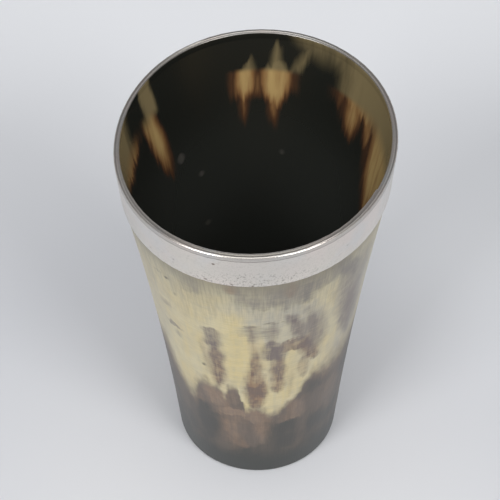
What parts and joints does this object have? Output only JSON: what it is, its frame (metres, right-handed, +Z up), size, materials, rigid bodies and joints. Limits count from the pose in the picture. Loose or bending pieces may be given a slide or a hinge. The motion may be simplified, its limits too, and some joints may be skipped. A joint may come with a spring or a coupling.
{
  "type": "horn drinking cup",
  "caption": "Flared horn beaker, round at the foot and slightly oval at the mouth, with a base disc held in a groove and a silver collar and lip.",
  "frame": {"origin": "middle of the foot, on the surface that the cup stands on", "axes": "+Z up through the mouth, -Y towards the front of the cup, +X to the right seen from the front"},
  "size_m": [0.0718, 0.0816, 0.114],
  "materials": {
    "horn": "polished cow horn, cream at the mouth and dark at the foot",
    "dark_horn": "dark polished horn",
    "sealing_wax": "dull wax",
    "silver": "worn polished silver",
    "cement": "dull shellac cement"
  },
  "bodies": {
    "root": {"horn_body": "horn", "base_disc": "dark_horn", "base_seal": "sealing_wax", "collar_band": "silver", "collar_cement": "cement", "lip_ring": "silver"}
  },
  "joints": []
}
